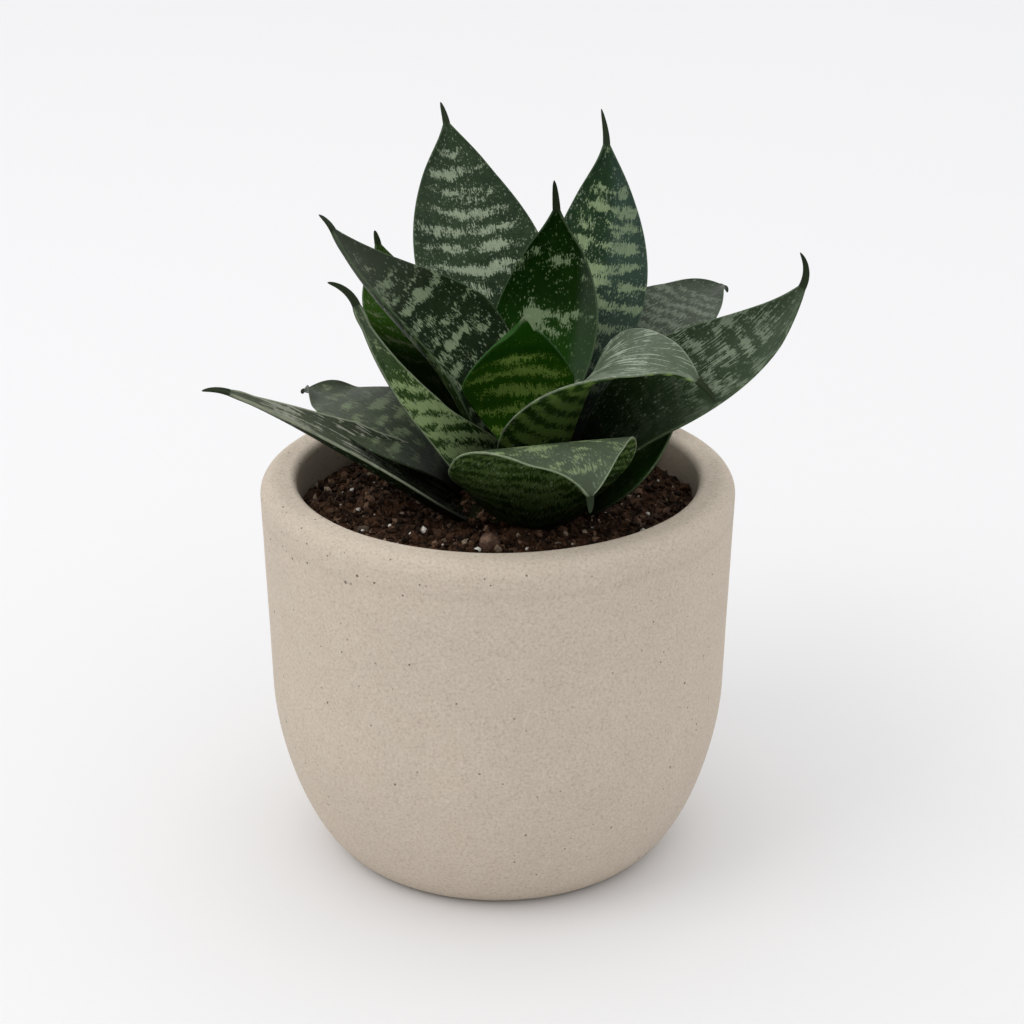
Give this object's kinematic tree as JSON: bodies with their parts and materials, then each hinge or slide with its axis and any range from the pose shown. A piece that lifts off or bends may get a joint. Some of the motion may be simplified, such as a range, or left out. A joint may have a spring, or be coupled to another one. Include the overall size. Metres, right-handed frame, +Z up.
{
  "type": "potted snake plant",
  "caption": "Dwarf snake plant with banded, spike-tipped leaves in a rosette, growing from dark soil in a round-bellied thick-walled concrete pot.",
  "frame": {"origin": "centre of the pot's flat underside, on the pot's axis", "axes": "+Z up along the pot's axis; -Y toward the side that the picture shows as the front; +X to the viewer's right"},
  "size_m": [0.1717, 0.1792, 0.2028],
  "materials": {
    "concrete": "matt cast concrete, warm beige grey, fine sandy grain with scattered pin holes",
    "potting_soil": "dry crumbly dark reddish-brown potting soil with white perlite",
    "stem_flesh": "pale green-brown fleshy stem",
    "young_leaf": "smooth waxy young leaf, brighter green with pale bands",
    "leaf": "smooth waxy leaf, dark green with jagged pale grey-green crossbands and a thin pale margin"
  },
  "bodies": {
    "root": {"pot": "concrete", "soil": "potting_soil", "crown": "stem_flesh", "leaf_heart": "young_leaf", "leaf_centre": "leaf", "leaf_back_left": "leaf", "leaf_back_right": "leaf", "leaf_front_right": "leaf", "leaf_upper_left": "leaf", "leaf_left": "leaf", "leaf_rear_left": "leaf", "leaf_right": "leaf", "leaf_rear_right": "leaf", "leaf_front": "leaf", "leaf_low_right": "leaf", "leaf_low_rear_left": "leaf", "leaf_low_left": "leaf"}
  },
  "joints": []
}
